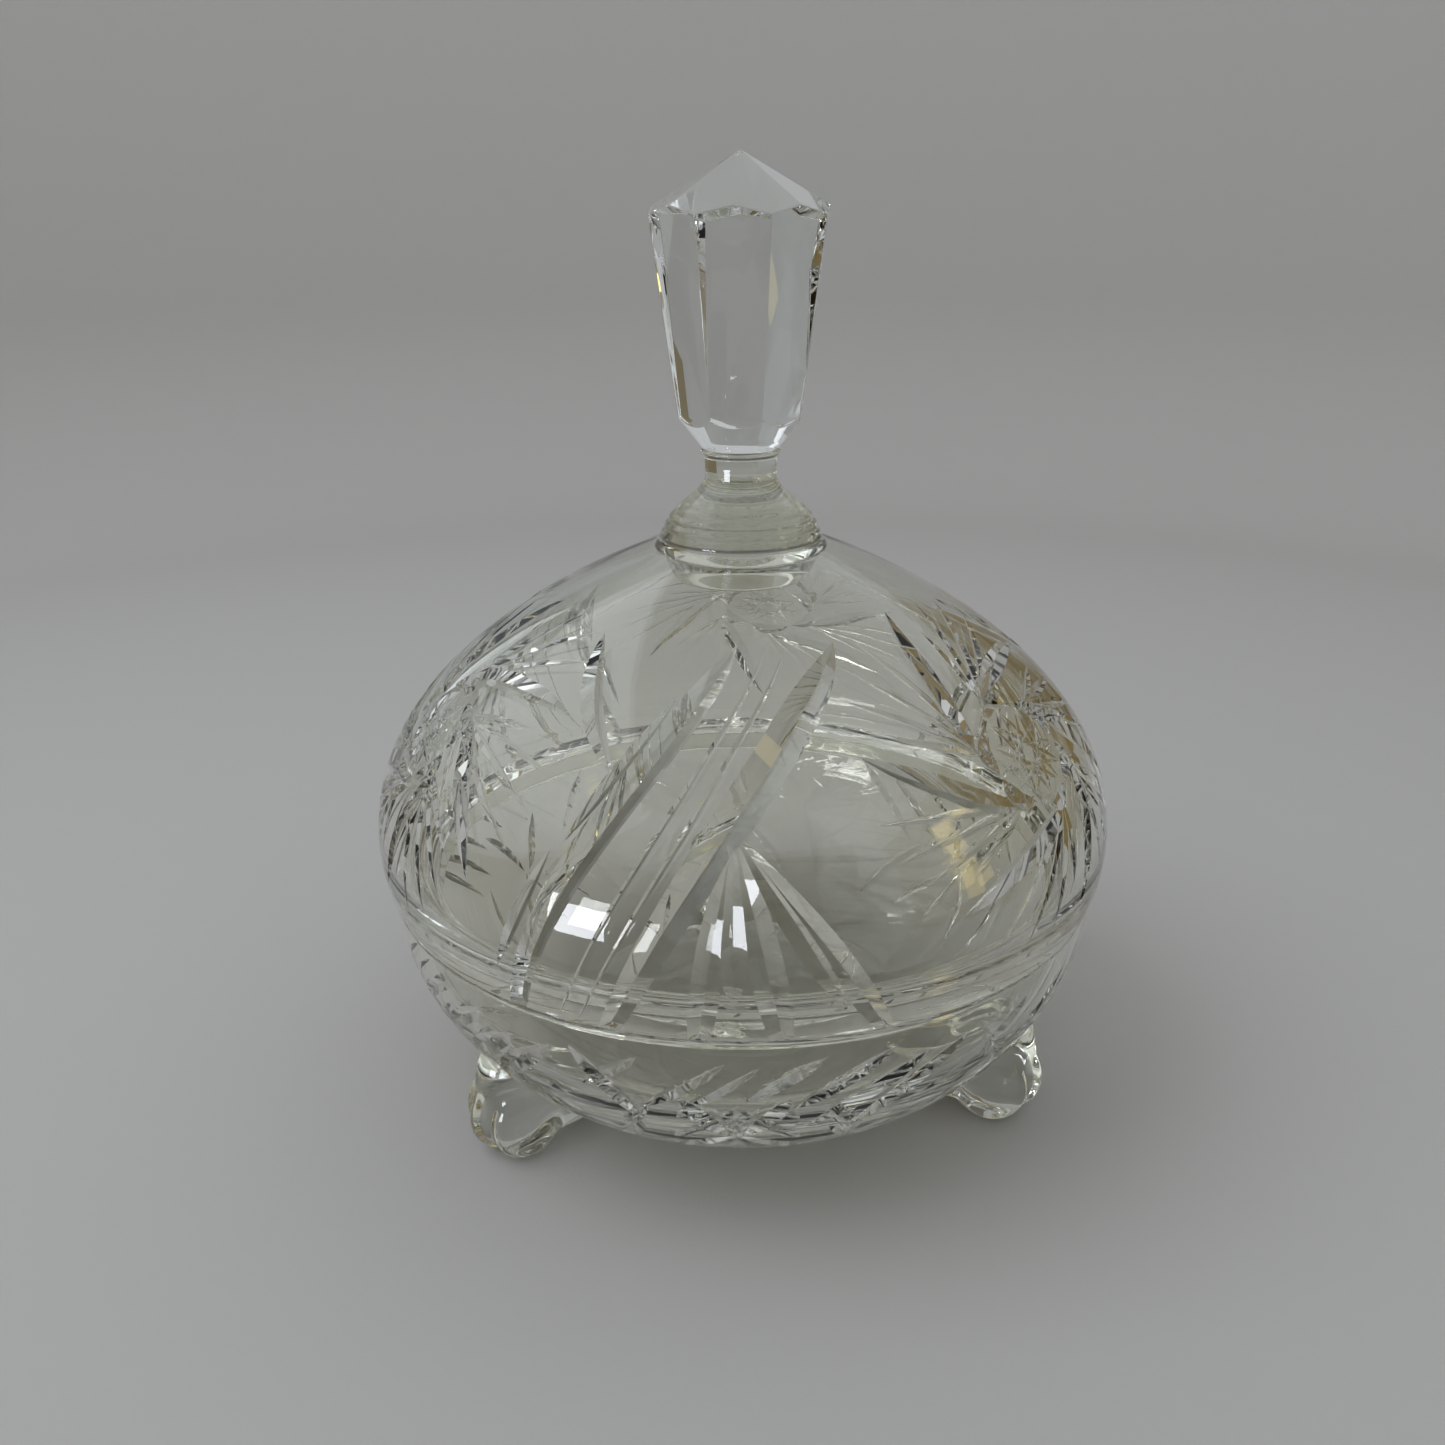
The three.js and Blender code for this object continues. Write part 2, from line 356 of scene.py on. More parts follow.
def cut_glass(name, blank, tools):
    """The blank with every tool taken away, each repeated at three places round the jar."""
    glass = to_object(blank, name)
    glass.data.materials.append(None)
    shelf = bpy.data.collections.new("tools")
    for number, tool in enumerate(tools):
        for third in range(3):
            bar = tool.copy()
            bmesh.ops.rotate(bar, verts=bar.verts[:], cent=(0, 0, 0),
                             matrix=Matrix.Rotation(math.tau / 3 * third, 3, "Z"))
            for face in bar.faces:
                face.material_index = 1
            shelf.objects.link(to_object(bar, f"tool_{number}_{third}", link=False))
        tool.free()
    bpy.context.scene.collection.children.link(shelf)
    wheel = glass.modifiers.new("wheel cuts", "BOOLEAN")
    wheel.operation = "DIFFERENCE"
    wheel.solver = "MANIFOLD"
    wheel.operand_type = "COLLECTION"
    wheel.collection = shelf
    graph = bpy.context.evaluated_depsgraph_get()
    before = glass.data
    glass.data = bpy.data.meshes.new_from_object(glass.evaluated_get(graph))
    glass.data.name = name
    glass.modifiers.clear()
    bpy.data.meshes.remove(before)
    for bar in list(shelf.objects):
        bpy.data.meshes.remove(bar.data)
    bpy.data.collections.remove(shelf)
    return glass


SAMPLE_WIDTH = 6    # mm
wheels = {"leaf": LEAF_HALF_ANGLE, "fan": FAN_HALF_ANGLE, "ray": RAY_HALF_ANGLE}
print("depth in mm of a groove", SAMPLE_WIDTH, "mm wide:",
      {name: round(SAMPLE_WIDTH / 2 / math.tan(angle), 2) for name, angle in wheels.items()})

# %% [markdown]
# Cutting breaks the smooth wall into long thin faces, and plain smooth shading would smear
# them. The wall's true normals are known from its curve, so they are written back onto every
# corner that still lies on the wall. Faces inside the cuts keep a crisp edge at each ridge.

# %% Normals of a cut wall
WALL_CREASE = math.radians(24)       # edges sharper than this stay crisp
WALL_TOLERANCE = 0.06 * MM           # a corner this near the curve is on the wall
WALL_FACING = math.cos(math.radians(9))    # and its face may lean this far from the wall


def polish(glass, form):
    """Sets exact normals on the untouched wall, and creases the cuts."""
    mesh = glass.data
    mesh.shade_smooth()
    mesh.set_sharp_from_angle(angle=WALL_CREASE)
    loops = len(mesh.loops)
    corner = np.empty(loops * 3)
    mesh.corner_normals.foreach_get("vector", corner)
    corner = corner.reshape(-1, 3)
    spot = np.empty(len(mesh.vertices) * 3)
    mesh.vertices.foreach_get("co", spot)
    owner = np.empty(loops, dtype=np.int32)
    mesh.loops.foreach_get("vertex_index", owner)
    spot = spot.reshape(-1, 3)[owner]
    facing = np.empty(len(mesh.polygons) * 3)
    mesh.polygons.foreach_get("normal", facing)
    sizes = np.empty(len(mesh.polygons), dtype=np.int32)
    mesh.polygons.foreach_get("loop_total", sizes)
    facing = np.repeat(facing.reshape(-1, 3), sizes, axis=0)
    _, points, normals = form
    ring = np.hypot(spot[:, 0], spot[:, 1])
    angle = np.arctan2(spot[:, 2] - SEAT, ring)
    known = np.arctan2(points[:, 1] - SEAT, points[:, 0])
    order = np.argsort(known)
    out, up, far = (np.interp(angle, known[order], column[order]) for column in
                    (normals[:, 0], normals[:, 1], np.hypot(points[:, 0], points[:, 1] - SEAT)))
    ring = np.maximum(ring, 1e-9)
    true = np.column_stack([out * spot[:, 0] / ring, out * spot[:, 1] / ring, up])
    on_wall = np.abs(np.hypot(ring, spot[:, 2] - SEAT) - far) < WALL_TOLERANCE
    on_wall &= (facing * true).sum(axis=1) > WALL_FACING
    on_wall &= (angle > known.min() + 1e-4) & (angle < known.max() - 1e-4)
    corner[on_wall] = true[on_wall]
    mesh.normals_split_custom_set(corner)
    print(glass.name, "has", sum(n - 2 for n in sizes), "triangles;",
          round(100 * on_wall.mean()), "% of corners lie on the wall")


# %% [markdown]
# The lid's main motif is a pinwheel, cut three times round the dome. Six broad curved leaves
# sweep out of a hub, each with a spray of fine rays beside it, and a small star fills the hub.
# It is drawn flat, in polar steps round its middle, and carried onto the dome by casting each
# point straight down on the glass, as a paper stencil would be pressed on.

# %% Pinwheels of the lid
PINWHEEL_AZIMUTH = 53.5   # degrees round from the front
PINWHEEL_ARC = 45.5       # mm up from the seat
PINWHEEL_ARMS = 6
HUB_SPOKES = 12
STENCIL_HEIGHT = 60       # mm off the glass
FIRST_ARM = 34.0          # degrees; the angle of the first leaf's tip
LOWER_SQUEEZE = 0.8       # the lower half is drawn shorter, to stay above the lid's edge

stencil_shell = spun([(0, LID_FORM[1][-1][1]), *LID_FORM[1][::-1], (0, LID_FORM[1][0][1])],
                     count=480)
dome_tree = BVHTree.FromBMesh(stencil_shell)
stencil_shell.free()


def wall_normal(form, point):
    """The curve's own normal at a point on the glass."""
    _, points, normals = form
    known = np.arctan2(points[:, 1] - SEAT, points[:, 0])
    order = np.argsort(known)
    ring = math.hypot(point.x, point.y)
    angle = math.atan2(point.z - SEAT, ring)
    out, up = (np.interp(angle, known[order], column[order]) for column in normals.T)
    return Vector((out * point.x / ring, out * point.y / ring, up)).normalized()


def pressed_on(flat_marks, azimuth, arc, count):
    """Stations on the lid under a flat drawing of (x, y) mm centred at that place."""
    centre, normal = on_glass(LID_FORM, azimuth, arc)
    across = Vector((math.cos(math.radians(azimuth)), math.sin(math.radians(azimuth)), 0))
    upward = normal.cross(across)
    line = []
    for x, y in smooth_path(flat_marks, count):
        y *= 1 if y > 0 else LOWER_SQUEEZE
        start = centre + (across * x + upward * y + normal * STENCIL_HEIGHT) * MM
        hit = dome_tree.ray_cast(start, -normal)[0]
        if hit is not None:
            line.append((hit, wall_normal(LID_FORM, hit)))
    return line


def polar(radius, degrees):
    return (radius * math.cos(math.radians(degrees)), radius * math.sin(math.radians(degrees)))


def pinwheel():
    """Tools for the six leaves with their rays and hub facets, and for the hub's star."""
    tools = []  # radii and widths are in mm, turns in degrees from the leaf's tip

    def press(marks, width, count=20, **shape):
        line = pressed_on(marks, PINWHEEL_AZIMUTH, PINWHEEL_ARC, count)
        tools.append(wheel_bar(line, width * MM, **shape))

    for arm in range(PINWHEEL_ARMS):
        tip = FIRST_ARM + arm * 360 / PINWHEEL_ARMS
        press([polar(41, tip), polar(36, tip + 5), polar(26, tip + 18), polar(19, tip + 38),
               polar(14.5, tip + 68)], 5.2, 24, peak=0.62)
        for reach, turned in ((44, 19), (44, 31), (42, 43), (34, 55)):
            press([polar(reach, tip + turned), polar(14.8, tip + 59 + turned / 8)],
                  2.3, 16, peak=0.62, half_angle=RAY_HALF_ANGLE)
        press([polar(12.2, tip + 30), polar(13.6, tip + 58), polar(12.2, tip + 86)], 4.4, 10)
    for spoke in range(HUB_SPOKES):
        start = spoke * 360 / HUB_SPOKES
        press([polar(11, start), polar(11, start + 150)], 1.9, 12, half_angle=RAY_HALF_ANGLE)
    return tools


hub = on_glass(LID_FORM, PINWHEEL_AZIMUTH, PINWHEEL_ARC)[0]
print("first pinwheel's hub at", [round(v / MM, 1) for v in hub], "mm")

# %% [markdown]
# Between two pinwheels the dome carries long slanting leaves that run off its lower edge, a
# pair of fine lines between them, and a fan of five leaves that opens downwards. A cut that
# runs off the edge nicks the rim, so its groove keeps a tail of depth at that end.

# %% Leaves and fans of the lid
FAN_ORIGIN = (-1.1, 43)    # degrees, mm
FAN_BOW = 1.12             # the outer leaves of the fan bow outwards this much
SLANT_CUTS = [
    # marks (degrees, mm), width, peak, tail
    ([(-1, 84), (-9.5, 68), (-17, 50), (-25, 27), (-32.4, -1.5)], 7.0, 0.3, 0.55),
    ([(25, 83), (12.5, 68), (1.5, 50), (-7.5, 30), (-18.6, -1.5)], 8.4, 0.3, 0.45),
    ([(7, 84), (-4.5, 60), (-13, 38), (-24.6, 2.5)], 1.3, 0.4, 0.3),
    ([(11.5, 83), (-0.6, 60), (-9.4, 38), (-21.8, 2.5)], 1.3, 0.4, 0.3),
    ([(-13, 70), (-19.5, 54), (-25.5, 37)], 3.0, 0.5, 0.0),
    ([(-27, 36), (-30.5, 22), (-34, 9)], 3.0, 0.5, 0.0),
    ([(-40, 83), (-30.5, 66), (-20.6, 51.5)], 5.0, 0.5, 0.0),
]
FAN_CUTS = [
    # end mark (degrees, mm), width, peak, tail
    ((-5.8, -1.5), 6.0, 0.66, 0.6),
    ((-1.0, 9.5), 6.8, 0.6, 0.0),
    ((5.6, -1.5), 7.0, 0.6, 0.5),
    ((13.2, 8.5), 6.2, 0.6, 0.0),
    ((20.2, -1.5), 6.0, 0.6, 0.4),
]


def lid_tools():
    tools = pinwheel()
    for marks, width, peak, tail in SLANT_CUTS:
        tools.append(groove(LID_FORM, marks, width, peak=peak, tail=tail))
    for end, width, peak, tail in FAN_CUTS:
        bend = ((FAN_ORIGIN[0] + end[0] * FAN_BOW) / 2, (FAN_ORIGIN[1] + end[1]) / 2)
        tools.append(groove(LID_FORM, [FAN_ORIGIN, bend, end], width, peak=peak, tail=tail,
                            half_angle=FAN_HALF_ANGLE))
    return tools


lid_glass = cut_glass("lid_dome_glass", spun(lid_blank()), lid_tools())
polish(lid_glass, LID_FORM)

# %% [markdown]
# The bowl is cut more closely than the lid. A plain band under the rim is left whole. Below it
# crossing leaves slant round the wall in six repeats, with a pair of petals in each, and rays
# run down from there towards the base.

# %% Cuts of the bowl
BOWL_REPEATS_PER_THIRD = 2
BOWL_TURN = -0.6           # degrees
BOWL_HALF_ANGLE = math.radians(68)
BOWL_CUTS = [
    # marks (degrees, mm below the rim), width
    ([(-8.5, 15), (-5, 21.5), (-1, 31)], 6.6),
    ([(7.5, 15), (4.4, 21.5), (0.6, 31)], 6.6),
    ([(-1, 4.5), (-8, 12.5), (-14.5, 20.5)], 3.4),
    ([(3.5, 5.5), (-3, 13), (-9.5, 21)], 3.0),
    ([(12, 4.5), (6, 10), (0.5, 16)], 4.4),
    ([(22, 4.5), (14.5, 11.5), (7.5, 19)], 4.6),
    ([(27.5, 7.5), (19, 16), (10.5, 26)], 5.6),
    ([(34, 6.5), (25.5, 16.5), (17, 29)], 5.6),
    ([(-24, 5), (-19, 14), (-14, 26)], 5.0),
    ([(-13, 5), (-18, 10), (-23, 16)], 3.4),
    ([(-0.2, 30.5), (-7.5, 39), (-13, 50)], 5.0),
    ([(-0.2, 30.5), (-0.2, 40), (-0.2, 51)], 4.0),
    ([(-0.2, 30.5), (7, 39), (12.5, 50)], 5.0),
    ([(14, 28), (20, 38), (23.5, 50)], 5.0),
    ([(-14, 25), (-19, 37), (-22, 50)], 4.4),
]


def bowl_tools():
    tools = []
    for repeat in range(BOWL_REPEATS_PER_THIRD):
        shift = repeat * 120 / BOWL_REPEATS_PER_THIRD + BOWL_TURN
        for marks, width in BOWL_CUTS:
            moved = [(azimuth + shift, drop) for azimuth, drop in marks]
            tools.append(groove(BOWL_FORM, moved, width, half_angle=BOWL_HALF_ANGLE))
    return tools


bowl_glass = cut_glass("bowl_glass", spun(bowl_blank()), bowl_tools())
polish(bowl_glass, BOWL_FORM)

# %% [markdown]
# The finial stands on a bell-shaped collar that is turned in one piece with its neck. Soft
# rings are left from the turning, one under another, and the foot of the bell ends in a small
# lip. It is sunk a hair into the crown: fused glass has no air gap, and a gap would mirror.

# %% Collar and neck
FUSED = 0.02 * MM
NECK_TOP_RADIUS = 8.3 * MM      # a fine notch is left under the prism, above a small bead
NECK_TOP = SEAT + 97 * MM
COLLAR_MARKS = [
    # radius, height above the seat, in mm
    (17.6, 76.9), (17.95, 77.6), (17.95, 78.3), (17.6, 78.9), (17.3, 79.5), (16.9, 80.4),
    (16.3, 81.4), (15.5, 82.6), (14.4, 83.8), (13.1, 85), (11.7, 86.2), (10.4, 87.3),
    (9.35, 88.3), (8.6, 89.3), (8.15, 90.1), (7.95, 90.5), (7.9, 91.4), (7.9, 92.9),
    (8.0, 94.3), (8.2, 95.4), (8.65, 96.1), (8.75, 96.5), (8.3, 97),
]
RING_DEPTH, RING_SPACING, FIRST_RING = 0.14, 1.7, 79    # mm
BELL_MIDDLE, BELL_REACH = 82.5, 5                       # mm; the rings fade out either way


def collar_outline():
    """The marks made smooth, with shallow turned rings down the bell."""
    smooth = smooth_path(COLLAR_MARKS, count=120)
    outline = [(0, CROWN - FUSED), (smooth[0][0] * MM, CROWN - FUSED)]
    for radius, height in smooth[1:]:
        bell = max(0, 1 - abs(height - BELL_MIDDLE) / BELL_REACH)
        ripple = RING_DEPTH * bell * math.cos(math.tau * (height - FIRST_RING) / RING_SPACING)
        outline.append(((radius + ripple) * MM, SEAT + height * MM))
    outline[-1] = (NECK_TOP_RADIUS, NECK_TOP)
    return [*outline, (0, NECK_TOP)]


def crease(piece, degrees):
    """Smooth shading, but crisp where two faces meet at more than this angle."""
    piece.data.shade_smooth()
    piece.data.set_sharp_from_angle(angle=math.radians(degrees))


stem_glass = to_object(spun(collar_outline(), count=144), "finial_stem_glass")
crease(stem_glass, degrees=38)
print("collar from", round(CROWN / MM, 1), "to", round(NECK_TOP / MM, 1), "mm")

# %% [markdown]
# The prism is ground flat by flat from a turned blank. A bmesh cone with eight sides gives the
# tapered flanks, a plane bisect takes off each facet of the pointed crown, and a spun cone
# below meets the flats in eight scallops. A hair of bevel gives each arris its bright line.

# %% Prism
PRISM_SIDES = 8
FIRST_EDGE = math.radians(-72)    # from +X
SHOULDER_RADIUS, SHOULDER_HEIGHT = 19.74 * MM, SEAT + 144.8 * MM
LOW_RADIUS, LOW_HEIGHT = 14.1 * MM, SEAT + 104 * MM
APEX = SEAT + 157.1 * MM
CONE_SLOPE = 0.797
ARRIS = 0.22 * MM
BLANK_RADIUS = 30 * MM    # of the turned blank, wider than the prism anywhere


def tapered_flanks(bottom, top):
    """An eight-sided cone whose flats carry on above and below the finished prism."""
    taper = (SHOULDER_RADIUS - LOW_RADIUS) / (SHOULDER_HEIGHT - LOW_HEIGHT)
    low, high = (LOW_RADIUS + taper * (z - LOW_HEIGHT) for z in (bottom, top))
    bm = bmesh.new()
    bmesh.ops.create_cone(bm, cap_ends=True, segments=PRISM_SIDES, radius1=low, radius2=high,
                          depth=top - bottom)
    first = max(bm.verts, key=lambda v: v.co.z).co
    spin = FIRST_EDGE - math.atan2(first.y, first.x)
    bmesh.ops.rotate(bm, verts=bm.verts[:], cent=(0, 0, 0), matrix=Matrix.Rotation(spin, 3, "Z"))
    bmesh.ops.translate(bm, verts=bm.verts[:], vec=(0, 0, (bottom + top) / 2))
    return bm


def settle(piece):
    """Makes the modifiers' result the piece's own mesh."""
    graph = bpy.context.evaluated_depsgraph_get()
    piece.data = bpy.data.meshes.new_from_object(piece.evaluated_get(graph))
    piece.data.materials.clear()
    piece.modifiers.clear()


def prism():
    """Flats and crown by planes, lower end by a turned cone, arrises by a hair of bevel."""
    bottom, top = NECK_TOP - FUSED, APEX + 2 * MM
    bm = tapered_flanks(bottom, top)
    slope = math.atan2(APEX - SHOULDER_HEIGHT, SHOULDER_RADIUS)
    for side in range(PRISM_SIDES):
        turned = FIRST_EDGE + side * math.tau / PRISM_SIDES
        facing = Vector((math.sin(slope) * math.cos(turned), math.sin(slope) * math.sin(turned),
                         math.cos(slope)))
        bmesh.ops.bisect_plane(bm, geom=bm.verts[:] + bm.edges[:] + bm.faces[:],
                               plane_co=(0, 0, APEX), plane_no=facing, clear_outer=True)
        bmesh.ops.holes_fill(bm, edges=[e for e in bm.edges if e.is_boundary])
    bmesh.ops.remove_doubles(bm, verts=bm.verts[:], dist=0.001 * MM)
    bmesh.ops.recalc_face_normals(bm, faces=bm.faces[:])
    stone = to_object(bm, "finial_prism_glass")
    shoulder = bottom + (BLANK_RADIUS - NECK_TOP_RADIUS) / CONE_SLOPE
    blank = to_object(spun([(0, bottom), (NECK_TOP_RADIUS, bottom), (BLANK_RADIUS, shoulder),
                            (BLANK_RADIUS, top), (0, top)], count=192), "turned_blank")
    turned_end = stone.modifiers.new("turned lower end", "BOOLEAN")
    turned_end.operation = "INTERSECT"
    turned_end.solver = "MANIFOLD"
    turned_end.object = blank
    arris = stone.modifiers.new("arrises", "BEVEL")
    arris.width = ARRIS
    arris.segments = 2
    arris.limit_method = "ANGLE"
    arris.angle_limit = math.radians(16)
    arris.harden_normals = True
    settle(stone)
    bpy.data.objects.remove(blank)
    return stone


prism_glass = prism()
crease(prism_glass, degrees=14)
print("prism has", len(prism_glass.data.polygons), "faces")

# %% [markdown]
# Each foot is a gather of hot glass pressed on: three toes side by side on the table, a tail
# that runs in under the bowl, and a rise that grips its wall. The lobes flow into each other
# with no seam, so one round ball is pushed out until it meets a field that blends them.

# %% Toe feet
TOE_LOBES = [
    # centre and half sizes in mm, with the foot on +X
    ((66.8, 0, 9.6), (9.6, 4.6, 9.9)),
    ((65.4, -6.2, 9.0), (8.6, 4.2, 9.0)),
    ((65.4, 6.2, 9.0), (8.6, 4.2, 9.0)),
    ((65.5, 0, 19), (8.4, 7.6, 9)),
    ((54, 0, 8.0), (16, 7.8, 7.6)),
]
LOBE_BLEND = 1.5
FOOT_HEART = Vector((63.5, 0, 11.5))    # mm; every point of the foot can be seen from here
FOOT_REACH = 40.0                       # mm, past the foot in any direction
HALVINGS = 26                           # each halves the doubt about where the skin lies
FOOT_TURNS = {"foot_left": -142.7, "foot_right": -22.7, "foot_back": 97.3}


def lobe_field(points):
    """Distance-like value, in mm: negative inside the blended lobes."""
    total = np.zeros(len(points))
    for centre, size in TOE_LOBES:
        offset = (points - np.array(centre)) / np.array(size)
        near = (np.linalg.norm(offset, axis=1) - 1) * min(size)
        total += np.exp(-near / LOBE_BLEND * 2)
    return -np.log(total) * LOBE_BLEND / 2


def toe_foot(name, degrees, hollow):
    """A ball pushed out to the blended lobes, cut level below and hollowed to fit the bowl."""
    bm = bmesh.new()
    bmesh.ops.create_icosphere(bm, subdivisions=6, radius=1)
    ways = np.array([v.co.normalized() for v in bm.verts])
    near, far = np.zeros(len(ways)), np.full(len(ways), FOOT_REACH)
    for _ in range(HALVINGS):
        middle = (near + far) / 2
        inside = lobe_field(np.array(FOOT_HEART) + ways * middle[:, None]) < 0
        near, far = np.where(inside, middle, near), np.where(inside, far, middle)
    for vert, way, reach in zip(bm.verts, ways, near):
        vert.co = (FOOT_HEART + Vector(way) * reach) * MM
    bmesh.ops.bisect_plane(bm, geom=bm.verts[:] + bm.edges[:] + bm.faces[:],
                           plane_co=(0, 0, 0), plane_no=(0, 0, -1), clear_outer=True)
    bmesh.ops.holes_fill(bm, edges=[e for e in bm.edges if e.is_boundary])
    bmesh.ops.recalc_face_normals(bm, faces=bm.faces[:])
    bmesh.ops.rotate(bm, verts=bm.verts[:], cent=(0, 0, 0),
                     matrix=Matrix.Rotation(math.radians(degrees), 3, "Z"))
    foot = to_object(bm, name + "_glass")
    fitted = foot.modifiers.new("fitted to the bowl", "BOOLEAN")
    fitted.operation = "DIFFERENCE"
    fitted.solver = "MANIFOLD"
    fitted.object = hollow
    settle(foot)
    crease(foot, degrees=35)
    return foot


under_bowl = bowl_outside(grown=-FUSED)
hollow = to_object(spun([(0, SEAT), *under_bowl, (0, under_bowl[-1][1])]), "hollow")
feet = {name: toe_foot(name, degrees, hollow) for name, degrees in FOOT_TURNS.items()}
bpy.data.objects.remove(hollow)
print("feet:", {name: len(foot.data.polygons) for name, foot in feet.items()})

# %% [markdown]
# All the glass is one batch of lead crystal: heavy, colourless with a breath of grey-green,
# and with a higher index than window glass, which is why the cuts flash. What differs is how
# each surface was made. Blown walls carry slow waves, the wheel's flanks keep a fine grain,
# pressed feet have a soft skin, and the flats of the finial are polished almost perfectly.

# %% Helpers for finishes
LEAD_CRYSTAL_IOR = 1.545


def linear(code):
    """A linear colour from an sRGB hex code such as "#C8CCC6"."""
    shares = [int(code[i:i + 2], 16) / 255 for i in (1, 3, 5)]
    return (*[s / 12.92 if s <= 0.04045 else ((s + 0.055) / 1.055) ** 2.4 for s in shares], 1)


def add(tree, kind, inputs=None, **settings):
    """Adds a node, applies its settings, and sets or links its inputs."""
    made = tree.nodes.new(kind)
    for key, value in settings.items():
        setattr(made, key, value)
    for key, value in (inputs or {}).items():
        if isinstance(value, bpy.types.NodeSocket):
            tree.links.new(value, made.inputs[key])
        else:
            made.inputs[key].default_value = value
    return made


def per_metre(size_mm):
    """Noise scale for features of that size."""
    return 1 / (size_mm * MM)


print("half-bright grey in linear light:", round(linear("#808080")[0], 3))

# %% [markdown]
# One recipe makes every finish of the glass. A slow noise bends the surface like the waves left
# by the blowpipe or the mould, and a second one leaves it a little duller in places, as handling
# does. The principled shader's transmission does the rest, because these walls are real solids.

# %% Crystal
SMEAR_MM = 9


def crystal(name, tint, wave_mm, wave_height_mm, haze, stretch=(1, 1, 1)):
    """Clear glass: slow surface waves as bump, and faint smears as roughness."""
    material = bpy.data.materials.new(name)
    material.use_nodes = True
    tree = material.node_tree
    tree.nodes.clear()
    place = add(tree, "ShaderNodeTexCoord").outputs["Object"]
    place = add(tree, "ShaderNodeMapping", {"Vector": place, "Scale": stretch}).outputs["Vector"]
    waves = add(tree, "ShaderNodeTexNoise",
                {"Vector": place, "Scale": per_metre(wave_mm), "Detail": 2.0})
    bump = add(tree, "ShaderNodeBump",
               {"Height": waves.outputs["Fac"], "Strength": 1.0, "Distance": wave_height_mm * MM})
    smears = add(tree, "ShaderNodeTexNoise",
                 {"Vector": place, "Scale": per_metre(SMEAR_MM), "Detail": 4.0, "Roughness": 0.6})
    clean, smeared = haze
    rough = add(tree, "ShaderNodeMapRange",
                {"Value": smears.outputs["Fac"], "From Min": 0.45, "From Max": 0.75,
                 "To Min": clean, "To Max": smeared})
    glass = add(tree, "ShaderNodeBsdfPrincipled",
                {"Base Color": linear(tint), "IOR": LEAD_CRYSTAL_IOR,
                 "Transmission Weight": 1.0, "Roughness": rough.outputs["Result"],
                 "Normal": bump.outputs["Normal"]})
    add(tree, "ShaderNodeOutputMaterial", {"Surface": glass.outputs["BSDF"]})
    return material


# Each line gives tint, wave length and height in mm, and roughness where clean and smeared.
blown = crystal("lead crystal, blown and fire polished", "#F6F6EF", 13, 0.03, (0.0, 0.035))
wheel_cut = crystal("lead crystal, wheel cut and acid polished", "#F4F5EE", 1.6, 0.012,
                    (0.08, 0.16))
pressed = crystal("lead crystal, pressed", "#F7F8F2", 4, 0.03, (0.0, 0.04))
turned = crystal("lead crystal, turned", "#F2F3EA", 5, 0.02, (0.0, 0.04), stretch=(1, 1, 3))
flat_polished = crystal("lead crystal, flat polished", "#F1F2EF", 9, 0.004, (0.0, 0.03))

for piece in (lid_glass, bowl_glass):
    piece.data.materials.clear()
    piece.data.materials.append(blown)
    piece.data.materials.append(wheel_cut)
stem_glass.data.materials.append(turned)
prism_glass.data.materials.append(flat_polished)
for foot in feet.values():
    foot.data.materials.append(pressed)
print("finishes:", [m.name for m in bpy.data.materials])

# %% [markdown]
# The jar comes apart into two bodies. The bowl and its feet are one casting, so they ride on
# the base, and the dome, collar and prism are fused together, so they ride on the lid. Each
# glass piece stands for one node of the imported model, which is hidden.

# %% Ride the bodies
RIDES = {
    # CAD node: (glass, body, slot)
    "bowl": (bowl_glass, "base", "bowl_crystal"),
    "foot_left": (feet["foot_left"], "base", "foot_crystal"),
    "foot_right": (feet["foot_right"], "base", "foot_crystal"),
    "foot_back": (feet["foot_back"], "base", "foot_crystal"),
    "lid_dome": (lid_glass, "lid", "lid_crystal"),
    "finial_stem": (stem_glass, "lid", "stem_crystal"),
    "finial_prism": (prism_glass, "lid", "prism_crystal"),
}
for node, (piece, body, slot) in RIDES.items():
    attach(piece, body)
    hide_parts(node)
print("riding:", {node: body for node, (_, body, _) in RIDES.items()})

# %% [markdown]
# Clear glass shows nothing of its own: it shows the room. The jar stands on a pale cloth that
# turns up into a plain backdrop all the way round. Cards that only the glass can see stand out
# of frame: a dark one and two brown ones for the outlines, and a pale one for the lit flanks.

# %% Floor and backdrop
def cloth(name, colour, thread_mm=0.9):
    """A matt weave with no sheen, for the backdrop and the cards."""
    material = bpy.data.materials.new(name)
    material.use_nodes = True
    tree = material.node_tree
    tree.nodes.clear()
    place = add(tree, "ShaderNodeTexCoord").outputs["Object"]
    weave = add(tree, "ShaderNodeTexNoise", {"Vector": place, "Scale": per_metre(thread_mm)})
    bump = add(tree, "ShaderNodeBump",
               {"Height": weave.outputs["Fac"], "Strength": 0.35, "Distance": 0.1 * MM})
    surface = add(tree, "ShaderNodeBsdfPrincipled",
                  {"Base Color": linear(colour), "Roughness": 0.9, "Specular IOR Level": 0.0,
                   "Normal": bump.outputs["Normal"]})
    add(tree, "ShaderNodeOutputMaterial", {"Surface": surface.outputs["BSDF"]})
    return material


INNER_RING = 0.3       # metres, like everything about the room
FLOOR_RADIUS = 0.62
COVE_RADIUS = 0.14
WALL_TOP = 0.5


